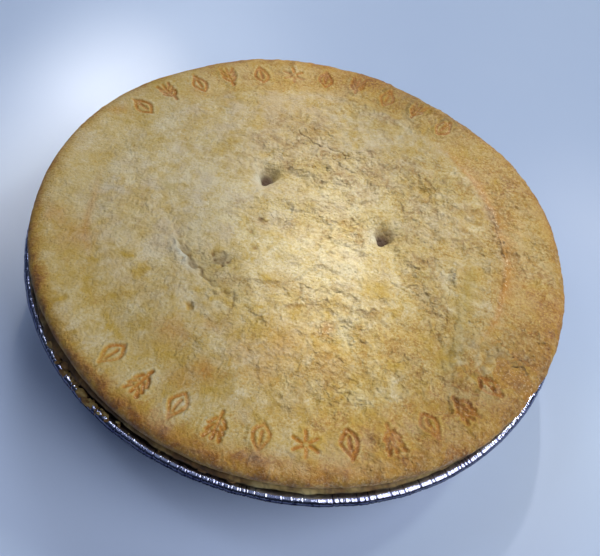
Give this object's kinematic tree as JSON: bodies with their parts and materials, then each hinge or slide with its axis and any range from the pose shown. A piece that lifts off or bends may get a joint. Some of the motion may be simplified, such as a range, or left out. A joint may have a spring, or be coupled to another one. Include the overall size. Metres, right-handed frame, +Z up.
{
  "type": "meat and potato pie in its foil dish",
  "caption": "Round family-size meat and potato pie baked in its pressed foil dish, with a pierced pastry lid and a stamped band of leaves round its edge.",
  "frame": {"origin": "on the surface that the dish stands on, under the middle of the dish", "axes": "+Z up; +Y away from the viewer in the picture, +X to the viewer's right"},
  "size_m": [0.2112, 0.2112, 0.0456],
  "materials": {
    "foil": "bright crinkled foil",
    "case_crust": "rough baked pastry",
    "lid_crust": "baked shortcrust, satin where it was glazed"
  },
  "bodies": {
    "root": {"foil_dish": "foil", "pastry_case": "case_crust", "pastry_lid": "lid_crust"}
  },
  "joints": []
}
